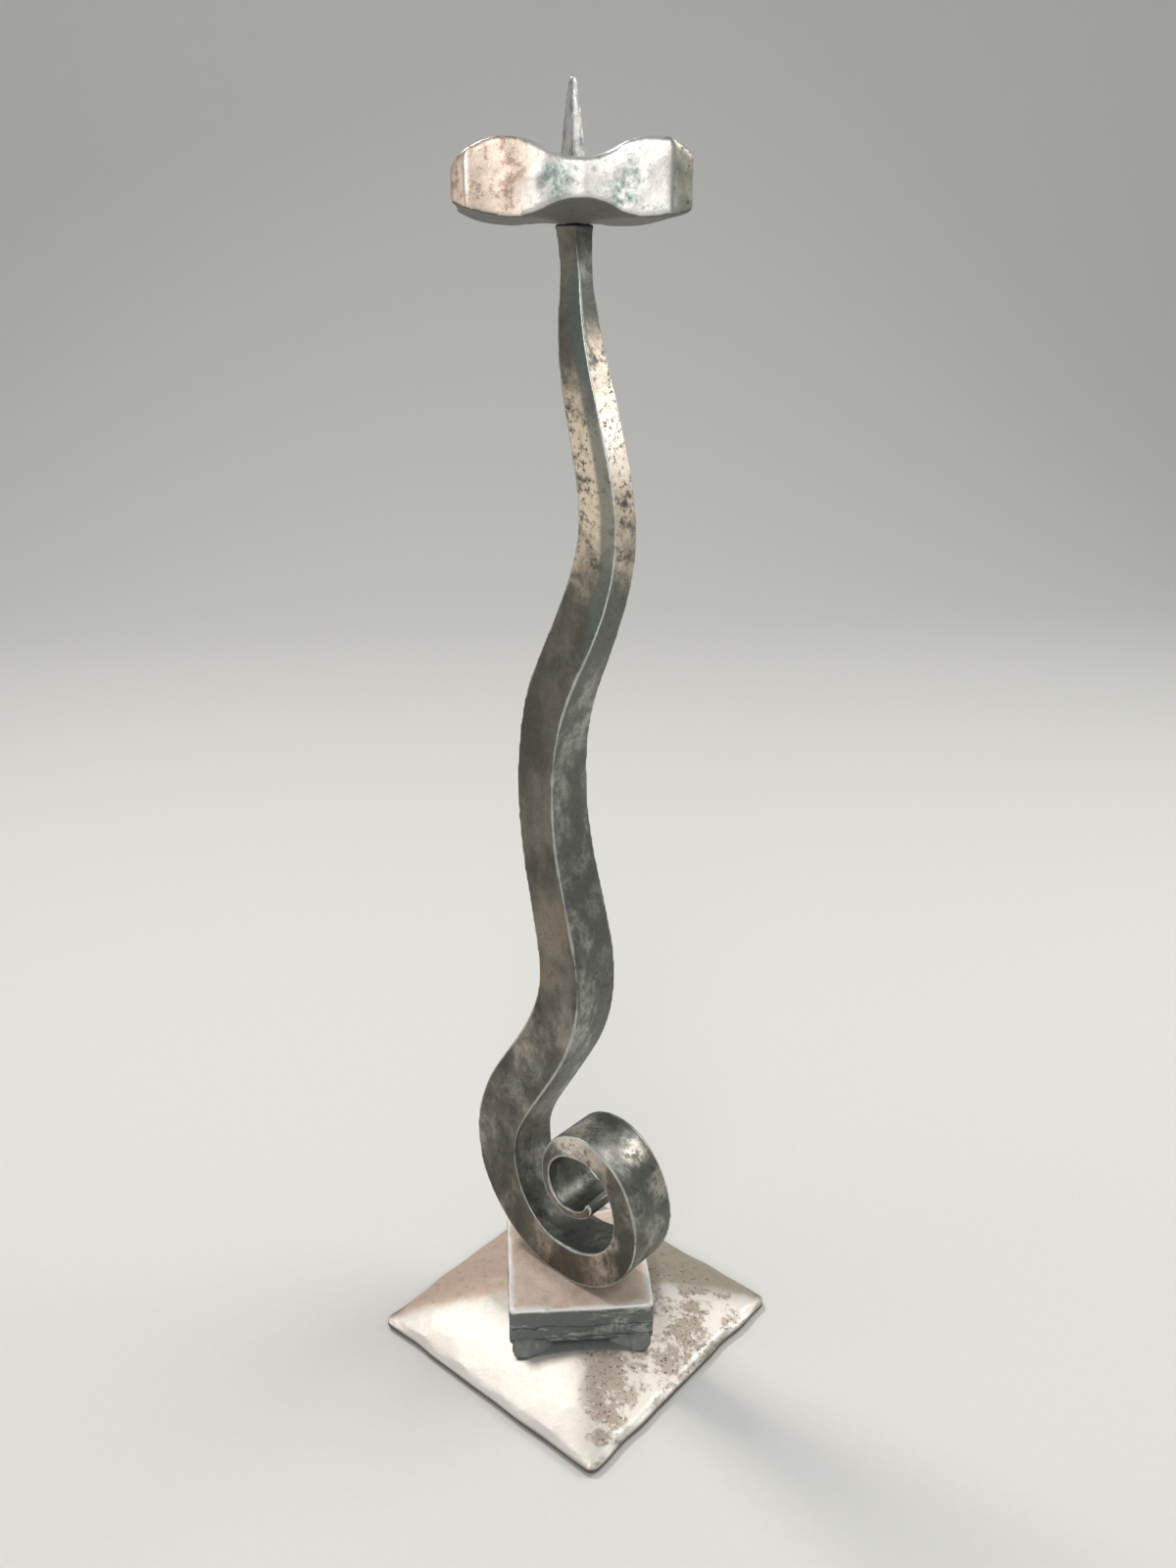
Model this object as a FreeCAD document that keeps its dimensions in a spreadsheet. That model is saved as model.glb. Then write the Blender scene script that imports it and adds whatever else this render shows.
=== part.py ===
import FreeCAD, Part
import Sketcher
import math
import os

from FreeCAD import Placement, Rotation, Vector

# Hand-forged pricket candle stand.
# Frame: +Z up, origin on the floor under the middle of the base plate, +X to the right and +Y to
# the back of someone who faces the stand. The base plate stands corner-wise: its four corners
# point along +X, -X, +Y and -Y. The bar waves and scrolls in the upright plane that runs from the
# back left to the front right, so its section shows the viewer a corner. Millimetres throughout.

os.makedirs("parts", exist_ok=True)
doc = FreeCAD.newDocument("PricketStand")
sheet = doc.addObject("Spreadsheet::Sheet", "Sizes")


# Sizes


class Size:
    """A length: its value now, and the sheet expression that gives it."""

    def __init__(self, text, value):
        self.text = text
        self.value = value

    def __add__(self, other):
        return Size(f"({self.text} + {text_of(other)})", self.value + value_of(other))

    def __sub__(self, other):
        return Size(f"({self.text} - {text_of(other)})", self.value - value_of(other))

    def __mul__(self, other):
        return Size(f"({self.text} * {text_of(other)})", self.value * value_of(other))

    def __truediv__(self, other):
        return Size(f"({self.text} / {text_of(other)})", self.value / value_of(other))

    def __neg__(self):
        return Size(f"(0 - {self.text})", -self.value)

    def __rsub__(self, other):
        return Size(f"({text_of(other)} - {self.text})", value_of(other) - self.value)

    __radd__ = __add__
    __rmul__ = __mul__


def text_of(number):
    return number.text if isinstance(number, Size) else repr(number)


def value_of(number):
    return number.value if isinstance(number, Size) else number


def size(alias, value):
    """Writes one driving size to the next row of the sheet and returns it."""
    size.row += 1
    sheet.set(f"A{size.row}", alias)
    sheet.set(f"B{size.row}", str(value))
    sheet.setAlias(f"B{size.row}", alias)
    return Size(f"Sizes.{alias}", value)


size.row = 0

# Base plate: 4 inch square of 12 mm plate, hammered down all round to a thin rim
plate_side = size("plate_side", 101.6)
plate_thickness = size("plate_thickness", 12.0)
plate_rim = size("plate_rim", 3.5)
plate_ledge = size("plate_ledge", 6.9)
plate_blunt = size("plate_blunt", 2.6)

# Plinth block: 2 inch square block, its top hollowed so that the corners stand up
block_side = size("block_side", 50.8)
block_height = size("block_height", 16.0)
block_dish_depth = size("block_dish_depth", 2.0)
block_seat_radius = size("block_seat_radius", 12.5)
block_corner_radius = size("block_corner_radius", 1.6)

# Corner welds: a dab of weld metal by each end of the block's front and back foot
weld_half_length = size("weld_half_length", 5.2)
weld_reach = size("weld_reach", 4.8)
weld_height = size("weld_height", 3.4)
weld_slope = size("weld_slope", 1.3)
weld_inset = size("weld_inset", 6.0)

# Bar: 3/4 inch square where the scroll begins, drawn down to a slim neck under the pan
bar_side = size("bar_side", 19.0)
bar_depth = size("bar_depth", 20.3)
stem_rise = size("stem_rise", 344.8)
wave_swing = size("wave_swing", 12.4)
scroll_width = size("scroll_width", 74.2)
scroll_height = size("scroll_height", 63.0)

# Drip pan: 60 mm square of 3/4 inch stock, necked in the middle of each side with a fuller
pan_side = size("pan_side", 60.4)
pan_height = size("pan_height", 18.9)
pan_offset = size("pan_offset", -1.5)
pan_left_blunt = size("pan_left_blunt", 3.8)
pan_right_blunt = size("pan_right_blunt", 6.0)
pan_side_sag = size("pan_side_sag", 1.0)
pan_roll_drop = size("pan_roll_drop", 4.2)
pan_crest_drop = size("pan_crest_drop", 8.24)
pan_top_neck_depth = size("pan_top_neck_depth", 4.5)
pan_bottom_neck_depth = size("pan_bottom_neck_depth", 4.3)
pan_neck_half_width = size("pan_neck_half_width", 17.5)
pan_neck_fade = size("pan_neck_fade", 23.0)
pan_dish_depth = size("pan_dish_depth", 8.4)
pan_dish_radius = size("pan_dish_radius", 24.0)

# Pricket: square forged spike on a threaded shank
pricket_side = size("pricket_side", 5.5)
pricket_height = size("pricket_height", 23.9)
pricket_shank_radius = size("pricket_shank_radius", 2.0)
pricket_thread_length = size("pricket_thread_length", 9.5)

# Countersunk socket screw from under the plate, through the block and into the scroll
screw_radius = size("screw_radius", 3.0)
screw_head_radius = size("screw_head_radius", 6.0)
screw_bite = size("screw_bite", 9.0)
screw_key = size("screw_key", 4.0)
head_recess = size("head_recess", 0.5)
key_depth_share = 0.65

# Clearances
thread_gap = size("thread_gap", 0.05)
screw_clearance = size("screw_clearance", 0.3)
drill_spare = size("drill_spare", 1.0)
overrun = size("overrun", 2.0)

# Levels and turns that several pieces share
block_top = plate_thickness + block_height
stem_seat = block_top - block_dish_depth
pan_underside = stem_seat + stem_rise
pan_floor_thickness = pan_height - pan_dish_depth
pricket_seat = pan_underside + pan_floor_thickness
eighth_turn = 45
whole_turn = 360


# Ways of making a feature


def new_body(name, turn=0):
    """A body whose label names its file, turned about the upright axis."""
    body = doc.addObject("PartDesign::Body", name)
    body.Label = name
    body.Placement = Placement(Vector(0, 0, 0), Rotation(Vector(0, 0, 1), turn))
    return body


def drive(feature, sizes):
    """Binds each property, given by its path, to a size."""
    for path, length in sizes.items():
        feature.setExpression(path, text_of(length))


def attach(feature, body, role, off=0):
    """Lays a feature on one of its body's own planes, moved off it."""
    plane = next(item for item in body.Origin.OriginFeatures if item.Role == role)
    feature.AttachmentSupport = [(plane, "")]
    feature.MapMode = "FlatFace"
    drive(feature, {"AttachmentOffset.Base.z": off})


def lift(piece, height):
    drive(piece, {"Placement.Base.z": height})


def new_sketch(body, name, role="XY_Plane", off=0):
    sketch = body.newObject("Sketcher::SketchObject", name)
    attach(sketch, body, role, off)
    return sketch


def lock(sketch, kind, geometry, length, mark=None):
    """Adds a constraint that follows a size."""
    marks = (geometry,) if mark is None else (geometry, mark)
    index = sketch.addConstraint(Sketcher.Constraint(kind, *marks, value_of(length)))
    sketch.setExpression(f"Constraints[{index}]", text_of(length))


def arc_radius(reach, rise):
    """The radius of an arc that rises so much over a reach of half its chord."""
    return (reach * reach + rise * rise) / (rise * 2)


def arc_between(start, end, radius, bulge):
    """The arc between two points that bulges to the left of the way, or with -1 to the right. A
    sketch takes its arcs anticlockwise, so one that bulges left runs back from its end."""
    half = (end - start) / 2
    left = Vector(-half.y, half.x, 0).normalize()
    to_centre = math.sqrt(radius * radius - half.Length * half.Length)
    middle = start + half + left * (bulge * (radius - to_centre))
    return Part.Arc(end, middle, start) if bulge > 0 else Part.Arc(start, middle, end)


def draw(sketch, points, arcs=None):
    """Closes an outline through points. arcs gives a side's radius and the way it bulges."""
    arcs = arcs or {}
    places = [Vector(value_of(across), value_of(up), 0) for across, up in points]
    marks = []
    for side, start in enumerate(places):
        end = places[(side + 1) % len(places)]
        if side in arcs:
            radius, bulge = arcs[side]
            sketch.addGeometry(arc_between(start, end, value_of(radius), bulge))
        else:
            sketch.addGeometry(Part.LineSegment(start, end))
        drawn = sketch.Geometry[side]
        forward = drawn.StartPoint.distanceToPoint(start) < drawn.StartPoint.distanceToPoint(end)
        marks.append((1, 2) if forward else (2, 1))
    for side, point in enumerate(points):
        follower = (side + 1) % len(points)
        joint = Sketcher.Constraint("Coincident", side, marks[side][1], follower, marks[follower][0])
        sketch.addConstraint(joint)
        lock(sketch, "DistanceX", side, point[0], marks[side][0])
        lock(sketch, "DistanceY", side, point[1], marks[side][0])
    for side, (radius, _) in arcs.items():
        lock(sketch, "Radius", side, radius)


def draw_square(sketch, side):
    half = side / 2
    draw(sketch, [(-half, -half), (half, -half), (half, half), (-half, half)])


def pad(body, sketch, length):
    feature = body.newObject("PartDesign::Pad", sketch.Name + "_pad")
    feature.Profile = sketch
    drive(feature, {"Length": length})
    return feature


def pocket_both_ways(body, sketch, length):
    """Cuts a sketch's outline to both sides of its plane, length in all."""
    feature = body.newObject("PartDesign::Pocket", sketch.Name + "_pocket")
    feature.Profile = sketch
    feature.SideType = "Symmetric"
    drive(feature, {"Length": length})
    return feature


def repeat(body, feature, count, span=whole_turn):
    """Repeats a feature round the body's upright axis."""
    pattern = body.newObject("PartDesign::PolarPattern", feature.Name + "_pattern")
    pattern.Originals = [feature]
    upright = next(item for item in body.Origin.OriginFeatures if item.Role == "Z_Axis")
    pattern.Axis = (upright, [""])
    pattern.Angle = span
    pattern.Occurrences = count
    body.Tip = pattern
    return pattern


def loft(body, sketches, kind="AdditiveLoft"):
    feature = body.newObject("PartDesign::" + kind, sketches[0].Name + "_loft")
    feature.Profile = (sketches[0], [""])
    feature.Sections = [(sketch, [""]) for sketch in sketches[1:]]
    feature.Ruled = True
    return feature


def primitive(body, kind, name, sizes, off=0):
    """Adds or cuts one of the body's own round or prismatic shapes about its upright axis."""
    feature = body.newObject("PartDesign::" + kind, name)
    attach(feature, body, "XY_Plane", off)
    drive(feature, sizes)
    return feature


def drill(body, name, radius, depth, off=0):
    return primitive(body, "SubtractiveCylinder", name, {"Radius": radius, "Height": depth}, off)


def edge_names(shape, is_wanted):
    return [f"Edge{count}" for count, edge in enumerate(shape.Edges, 1) if is_wanted(edge)]


def is_upright(edge):
    start, end = (vertex.Point for vertex in edge.Vertexes)
    return Vector(end.x - start.x, end.y - start.y, 0).Length < abs(end.z - start.z)


# Base plate


def make_base_plate():
    body = new_body("base_plate", -eighth_turn)
    outline = new_sketch(body, "plate_outline")
    draw_square(outline, plate_side)
    pad(body, outline, plate_rim)

    shoulder = new_sketch(body, "plate_shoulder", off=plate_rim)
    draw_square(shoulder, plate_side)
    table = new_sketch(body, "plate_table", off=plate_thickness)
    draw_square(table, block_side + plate_ledge * 2)
    loft(body, [shoulder, table])

    blunt_corners(body, "plate_corner", plate_side, plate_blunt, plate_thickness)

    drill(body, "plate_hole", screw_radius + screw_clearance, plate_thickness + overrun * 2, -overrun)
    mouth = screw_head_radius + screw_clearance
    drill(body, "plate_recess", mouth, head_recess + overrun, -overrun)
    cone = {"Radius1": mouth, "Radius2": screw_radius, "Height": mouth - screw_radius}
    primitive(body, "SubtractiveCone", "plate_sink", cone, head_recess)
    return body


def blunt_corners(body, name, side, blunt, height):
    """Cuts the four upright corners of a square piece off square to their diagonals."""
    half = side / 2
    inner, outer = half - blunt - overrun, half + overrun
    corner = new_sketch(body, name)
    draw(corner, [(inner, outer), (outer, inner), (outer, outer)])
    repeat(body, pocket_both_ways(body, corner, (height + overrun) * 2), 4)


# Plinth block


def make_plinth_block():
    body = new_body("plinth_block")
    lift(body, plate_thickness)
    outline = new_sketch(body, "block_outline")
    draw_square(outline, block_side)
    blank = pad(body, outline, block_height)
    doc.recompute()
    corners = body.newObject("PartDesign::Fillet", "block_corners")
    corners.Base = (blank, edge_names(blank.Shape, is_upright))
    drive(corners, {"Radius": block_corner_radius})

    floor = block_height - block_dish_depth
    slope = (block_side / 2 * math.sqrt(2) - block_seat_radius) / block_dish_depth
    depth = block_dish_depth + overrun
    dish = {"Radius1": block_seat_radius, "Radius2": block_seat_radius + slope * depth, "Height": depth}
    primitive(body, "SubtractiveCone", "block_dish", dish, floor)
    drill(body, "block_hole", screw_radius + screw_clearance, block_height + overrun, -overrun)
    return body


# Corner welds

# A dab's outline from above: along the block's foot as a share of its half length, and out from the
# block as a share of its reach
weld_shares = [
    (-1.0, 0.0),
    (-1.0, 0.4),
    (-0.7, 0.85),
    (-0.3, 1.0),
    (0.3, 1.0),
    (0.7, 0.85),
    (1.0, 0.4),
    (1.0, 0.0),
]


def make_corner_welds():
    """Four dabs in the corner between plate and block, their outer top edges sloped off."""
    dabs = doc.addObject("Part::Compound", "corner_welds")
    dabs.Label = "corner_welds"
    links = []
    for corner, (across, along) in enumerate([(-1, -1), (1, -1), (1, 1), (-1, 1)]):
        body = new_body(f"weld_dab_{corner}")
        lift(body, plate_thickness)
        middle = (block_side / 2 - weld_inset) * across
        foot = block_side / 2 * along
        outline = new_sketch(body, f"weld_outline_{corner}")
        points = [(middle + weld_half_length * x, foot + weld_reach * y * along) for x, y in weld_shares]
        draw(outline, points)
        blank = pad(body, outline, weld_height)
        doc.recompute()
        slopes = body.newObject("PartDesign::Chamfer", f"weld_slope_{corner}")
        slopes.Base = (blank, edge_names(blank.Shape, is_outer_rim))
        drive(slopes, {"Size": weld_slope})
        links.append(body)
    dabs.Links = links
    return dabs


def is_outer_rim(edge):
    """Whether an edge of a dab lies on its top and away from the block."""
    middle = edge.CenterOfMass
    return middle.z > weld_height.value / 2 and not is_upright(edge) and not is_on_block(middle)


def is_on_block(point):
    return math.isclose(abs(point.y), block_side.value / 2)


# Scroll stem: the bar's two edges are drawn in the plane of its waves, and the slab between them
# is drawn down to its depth from the side. Both tables run along the bar from the pan's end.

# Height as a share of the stem's rise, swing as a share of the wave's, and width of the bar's side
wave_shares = [
    (1.0, 0.02, 0.43),
    (0.972, 0.07, 0.37),
    (0.934, 0.13, 0.44),
    (0.853, 0.6, 0.615),
    (0.769, 1.0, 0.71),
    (0.685, 0.34, 0.85),
    (0.602, -0.59, 0.85),
    (0.537, -0.78, 0.81),
    (0.477, -0.65, 0.805),
    (0.393, -0.145, 0.87),
    (0.339, 0.03, 0.925),
    (0.28, -0.39, 1.01),
    (0.225, -1.28, 1.07),
    (0.184, -1.97, 1.08),
]

# The scroll's turning points, left, bottom, right, top and so on inwards: across as a share of the
# scroll's width, up as a share of its height, and width as a share of the bar's side
scroll_shares = [
    (-0.407, 0.675, 0.99),
    (0.016, 0.108, 0.768),
    (0.396, 0.524, 0.558),
    (0.135, 0.921, 0.516),
    (-0.088, 0.659, 0.221),
    (0.044, 0.465, 0.205),
    (0.178, 0.571, 0.21),
]

# Height as a share of the stem's rise, and depth as a share of the bar's depth
depth_shares = [
    (1.0, 0.405),
    (0.972, 0.35),
    (0.93, 0.44),
    (0.8, 0.55),
    (0.7, 0.6),
    (0.6, 0.76),
    (0.48, 0.89),
    (0.3, 0.96),
    (0.0, 1.0),
]
tip_bulge_share = 0.35


def edge_points():
    """The bar's outer and inner edge down the waves, square to its centre line at each station."""
    rise, swing, side = stem_rise.value, wave_swing.value, bar_side.value
    centres = [Vector(across * swing, 0, up * rise) for up, across, _ in wave_shares]
    halves = [width * side / 2 for _, _, width in wave_shares]
    outer, inner = [], []
    for station, (centre, half) in enumerate(zip(centres, halves)):
        before = centres[max(station - 1, 0)]
        after = centres[min(station + 1, len(centres) - 1)]
        way = (after - before).normalize()
        square = Vector(0, 1, 0).cross(way) if station else Vector(-1, 0, 0)
        outer.append(centre + square * half)
        inner.append(centre - square * half)
    return outer, inner


def turning_points():
    """The outer and inner edge at the scroll's turning points. The bar turns a quarter each time."""
    wide, tall, side = scroll_width.value, scroll_height.value, bar_side.value
    outward = Vector(-1, 0, 0)
    outer, inner = [], []
    for across, up, width in scroll_shares:
        centre = Vector(across * wide, 0, up * tall)
        half = width * side / 2
        outer.append(centre + outward * half)
        inner.append(centre - outward * half)
        outward = Vector(-outward.z, 0, outward.x)
    return outer, inner


def quarter_ellipse(start, end, upright_first):
    """A quarter of an ellipse whose ends run upright and level, in the order asked for."""
    centre = Vector(end.x, 0, start.z) if upright_first else Vector(start.x, 0, end.z)
    arms = sorted(((start - centre), (end - centre)), key=lambda arm: -arm.Length)
    curve = Part.Ellipse(centre + arms[0], centre + arms[1], centre)
    first, last = curve.parameter(start), curve.parameter(end)
    if (last - first) % (2 * math.pi) > math.pi:
        first, last = last, first
    return Part.ArcOfEllipse(curve, first, last).toShape()


def long_edge(wave_points, scroll_points):
    """One edge of the bar: a smooth curve down the waves, then a quarter ellipse for each turn."""
    wave = Part.BSplineCurve()
    wave.interpolate(
        Points=wave_points + scroll_points[:1],
        InitialTangent=Vector(0, 0, -1),
        FinalTangent=Vector(0, 0, -1),
        Scale=False,
    )
    edges = [wave.toShape()]
    turns = zip(scroll_points, scroll_points[1:])
    for count, (start, end) in enumerate(turns):
        edges.append(quarter_ellipse(start, end, count % 2 == 0))
    return edges


def make_scroll_stem():
    wave_outer, wave_inner = edge_points()
    turn_outer, turn_inner = turning_points()
    outer = long_edge(wave_outer, turn_outer)
    inner = long_edge(wave_inner, turn_inner)
    tip_outer, tip_inner = turn_outer[-1], turn_inner[-1]
    across = tip_inner - tip_outer
    crown = tip_outer + across / 2 + Vector(0, 0, across.Length * tip_bulge_share)
    tip = Part.Arc(tip_outer, crown, tip_inner).toShape()
    top = Part.makeLine(wave_inner[0], wave_outer[0])
    front = doc.addObject("Part::Feature", "stem_front_outline")
    front.Shape = Part.Face(Part.Wire(outer + [tip] + inner[::-1] + [top]))
    slab = extrude("stem_slab", front, (0, 1, 0), bar_depth * 2)

    rise, half = stem_rise.value, bar_depth.value / 2
    near = [Vector(0, -share * half, up * rise) for up, share in depth_shares]
    far = [Vector(0, -point.y, point.z) for point in near]
    sides = []
    for points in (near, far[::-1]):
        curve = Part.BSplineCurve()
        curve.interpolate(points)
        sides.append(curve.toShape())
    floor = Part.makeLine(near[-1], far[-1])
    ceiling = Part.makeLine(far[0], near[0])
    side = doc.addObject("Part::Feature", "stem_side_outline")
    side.Shape = Part.Face(Part.Wire([sides[0], floor, sides[1], ceiling]))
    taper = extrude("stem_taper", side, (1, 0, 0), scroll_width * 2)

    bar = doc.addObject("Part::Common", "stem_bar")
    bar.Base, bar.Tool = slab, taper
    foot_depth = screw_bite + drill_spare
    foot = threaded_hole("stem_foot_thread", screw_radius, foot_depth, -overrun)
    neck_depth = pricket_thread_length + drill_spare
    neck = threaded_hole("stem_neck_thread", pricket_shank_radius, neck_depth, stem_rise - neck_depth)
    holes = doc.addObject("Part::Compound", "stem_threads")
    holes.Links = [foot, neck]
    stem = cut("scroll_stem", bar, holes)
    stem.Placement = Placement(Vector(0, 0, 0), Rotation(Vector(0, 0, 1), -eighth_turn))
    lift(stem, stem_seat)
    return stem


def cut(name, base, tool):
    feature = doc.addObject("Part::Cut", name)
    feature.Label = name
    feature.Base, feature.Tool = base, tool
    return feature


def extrude(name, outline, way, length):
    feature = doc.addObject("Part::Extrusion", name)
    feature.Base = outline
    feature.DirMode = "Custom"
    feature.Dir = Vector(*way)
    feature.Solid = True
    feature.Symmetric = True
    drive(feature, {"LengthFwd": length})
    return feature


def threaded_hole(name, radius, depth, floor):
    feature = doc.addObject("Part::Cylinder", name)
    drive(feature, {"Radius": radius + thread_gap, "Height": depth + overrun})
    lift(feature, floor)
    return feature


# Drip pan


def make_drip_pan():
    body = new_body("drip_pan")
    lift(body, pan_underside)
    outline = new_sketch(body, "pan_outline")
    draw_pan_outline(outline)
    pad(body, outline, pan_height)

    across = new_sketch(body, "pan_top_neck", "XZ_Plane")
    draw_neck(across, pan_height, pan_top_neck_depth, 1, True)
    pocket_both_ways(body, across, pan_side * 2)
    along = new_sketch(body, "pan_top_groove", "YZ_Plane")
    draw_neck(along, pan_height, pan_top_neck_depth, 1)
    pocket_both_ways(body, along, pan_side * 2)

    arch = new_sketch(body, "pan_bottom_neck", "XZ_Plane", off=pan_side / 2)
    draw_neck(arch, 0, pan_bottom_neck_depth, -1)
    fade = math.degrees(math.atan2(pan_bottom_neck_depth.value, pan_neck_fade.value))
    arch.AttachmentOffset = Placement(arch.AttachmentOffset.Base, Rotation(Vector(1, 0, 0), -fade))
    repeat(body, pocket_both_ways(body, arch, pan_side), 2)
    roll = new_sketch(body, "pan_bottom_roll", "XZ_Plane")
    draw_roll(roll)
    repeat(body, pocket_both_ways(body, roll, pan_side * 2), 2)

    bowl_radius = arc_radius(pan_dish_radius, pan_dish_depth)
    bowl = {"Radius": bowl_radius}
    primitive(body, "SubtractiveSphere", "pan_bowl", bowl, pan_floor_thickness + bowl_radius)
    seat = {"Radius": pricket_side, "Height": pan_dish_depth + overrun}
    primitive(body, "SubtractiveCylinder", "pan_seat", seat, pan_floor_thickness)
    hole_radius = pricket_shank_radius + screw_clearance
    drill(body, "pan_hole", hole_radius, pan_height + overrun, -overrun)
    return body


def draw_pan_outline(sketch):
    """A square with blunt corners, set a little to the left of the stem; each side is hollow."""
    front, back = -pan_side / 2, pan_side / 2
    left, right = front + pan_offset, back + pan_offset
    near, far = pan_left_blunt, pan_right_blunt
    points = [
        (left + near, front),
        (right - far, front),
        (right, front + far),
        (right, back - far),
        (right - far, back),
        (left + near, back),
        (left, back - near),
        (left, front + near),
    ]
    long_chord, right_chord, left_chord = pan_side - near - far, pan_side - far * 2, pan_side - near * 2
    chords = {0: long_chord, 2: right_chord, 4: long_chord, 6: left_chord}
    arcs = {side: (arc_radius(chord / 2, pan_side_sag), 1) for side, chord in chords.items()}
    draw(sketch, points, arcs)


def draw_neck(sketch, level, deep, way, rolled=False):
    """The fuller's mark: a hollow between two rounded shoulders, all of one radius. Where the
    pan's ends are rolled, each crest falls off towards its end."""
    wide = pan_neck_half_width
    hollow = arc_radius(wide / 2, deep / 2)
    halfway, beyond = level - deep / 2 * way, level + overrun * way
    points = [(-wide, level), (-wide / 2, halfway), (wide / 2, halfway), (wide, level)]
    arcs = [(hollow, way), (hollow, -way), (hollow, way)]
    reach = wide
    if rolled:
        reach = pan_side / 2 - pan_offset + drill_spare
        roll = (arc_radius(reach - wide, pan_crest_drop), way)
        points = [(-reach, level - pan_crest_drop), *points, (reach, level - pan_crest_drop)]
        arcs = [roll, *arcs, roll]
    draw(sketch, [*points, (reach, beyond), (-reach, beyond)], dict(enumerate(arcs)))


def draw_roll(sketch):
    """The underside's rise towards one end, from a level start to the pan's side."""
    start, drop = pan_neck_half_width, pan_roll_drop
    reach = pan_side / 2 - pan_offset + drill_spare
    run = reach - start
    corners = [(start, 0), (reach, drop), (reach, -overrun), (start, -overrun)]
    draw(sketch, corners, {0: (arc_radius(run, drop), -1)})


# Pricket

# Height and side at each station, as shares of the pricket's own
pricket_shares = [(0.0, 1.0), (0.27, 0.85), (0.52, 0.68), (0.8, 0.46), (0.96, 0.29), (1.0, 0.16)]


def make_pricket():
    body = new_body("pricket", -eighth_turn)
    lift(body, pricket_seat)
    sections = []
    for count, (up, across) in enumerate(pricket_shares):
        section = new_sketch(body, f"pricket_section_{count}", off=pricket_height * up)
        draw_square(section, pricket_side * across)
        sections.append(section)
    loft(body, sections)
    length = pan_floor_thickness + pricket_thread_length
    shank = {"Radius": pricket_shank_radius, "Height": length + pricket_side / 2}
    primitive(body, "AdditiveCylinder", "pricket_shank", shank, -length)
    return body


# Stem screw


def make_stem_screw():
    """A socket screw with its head down: cone, shank and a hexagonal socket."""
    body = new_body("stem_screw", -eighth_turn)
    cone = screw_head_radius - screw_radius
    head = {"Radius1": screw_head_radius, "Radius2": screw_radius, "Height": cone}
    primitive(body, "AdditiveCone", "screw_head", head, head_recess)
    shank = {"Radius": screw_radius, "Height": stem_seat + screw_bite - head_recess}
    primitive(body, "AdditiveCylinder", "screw_shank", shank, head_recess)
    socket = {"Circumradius": screw_key / math.sqrt(3), "Height": cone * key_depth_share + overrun}
    hexagon = primitive(body, "SubtractivePrism", "screw_socket", socket, head_recess - overrun)
    hexagon.Polygon = 6
    return body


# Assembly

pieces = [
    make_base_plate(),
    make_plinth_block(),
    make_corner_welds(),
    make_scroll_stem(),
    make_drip_pan(),
    make_pricket(),
    make_stem_screw(),
]
doc.recompute()

for item in doc.Objects:
    if "Invalid" in item.State or "Error" in item.State:
        raise RuntimeError(f"{item.Name} failed: {item.State}")
for piece in pieces:
    shape = piece.Shape
    if shape.isNull() or not shape.isValid() or not shape.Solids:
        raise RuntimeError(f"{piece.Label} has no sound solid")
    box = shape.BoundBox
    span = round(box.ZMin, 2), round(box.ZMax, 2)
    print(piece.Label, len(shape.Solids), "solids,", round(shape.Volume), "mm3, z", *span)
for piece in pieces:
    piece.Shape.exportStep(f"parts/{piece.Label}.step")
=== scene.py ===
# Hand-forged pricket candle stand, dressed over its CAD parts.
# It is all steel: a bevelled foot plate, a hollowed block, a waved bar that ends in a scroll, a
# square drip pan and a spike. Metres, +Z up, +Y to the back, origin on the floor under the spike.

import math

import bpy
import numpy as np
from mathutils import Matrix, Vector, noise


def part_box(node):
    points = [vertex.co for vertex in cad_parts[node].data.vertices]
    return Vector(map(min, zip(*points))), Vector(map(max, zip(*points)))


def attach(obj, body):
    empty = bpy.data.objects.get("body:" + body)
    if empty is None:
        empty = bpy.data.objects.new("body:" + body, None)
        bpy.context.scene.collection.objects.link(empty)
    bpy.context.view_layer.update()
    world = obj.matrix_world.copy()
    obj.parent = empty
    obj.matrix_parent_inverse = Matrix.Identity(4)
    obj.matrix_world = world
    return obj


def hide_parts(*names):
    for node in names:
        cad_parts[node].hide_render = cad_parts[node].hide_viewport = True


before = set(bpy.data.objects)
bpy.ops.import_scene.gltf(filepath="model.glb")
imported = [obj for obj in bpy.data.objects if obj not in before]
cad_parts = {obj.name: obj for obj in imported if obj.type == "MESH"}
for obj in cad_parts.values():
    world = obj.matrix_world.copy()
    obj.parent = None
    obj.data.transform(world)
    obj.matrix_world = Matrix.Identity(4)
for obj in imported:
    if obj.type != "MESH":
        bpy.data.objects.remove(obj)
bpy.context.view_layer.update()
mm = 0.001


# Foot plate
# A 4 inch square of steel plate, hammered thinner towards its rim so that four bevels rise to the
# block in one soft crown. It was wire-brushed bright while hot, and heat left tan and brown stains.


class Wire:
    """An output in a material. Sums with it add Math nodes."""

    def __init__(self, finish, socket):
        self.finish = finish
        self.socket = socket

    def __add__(self, other):
        return self.finish.math("ADD", self, other)

    def __sub__(self, other):
        return self.finish.math("SUBTRACT", self, other)

    def __rsub__(self, other):
        return self.finish.math("SUBTRACT", other, self)

    def __mul__(self, other):
        return self.finish.math("MULTIPLY", self, other)

    __radd__ = __add__
    __rmul__ = __mul__

    def __abs__(self):
        return self.or_more(self * -1)

    def or_more(self, other):
        return self.finish.math("MAXIMUM", self, other)

    def rises(self, start, end):
        """A mask that goes smoothly from 0 at start to 1 at end. The end may be the lower one."""
        settings = {"interpolation_type": "SMOOTHSTEP"}
        limits = {"Value": self, "From Min": start, "From Max": end}
        return self.finish.add("ShaderNodeMapRange", settings, limits)


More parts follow.
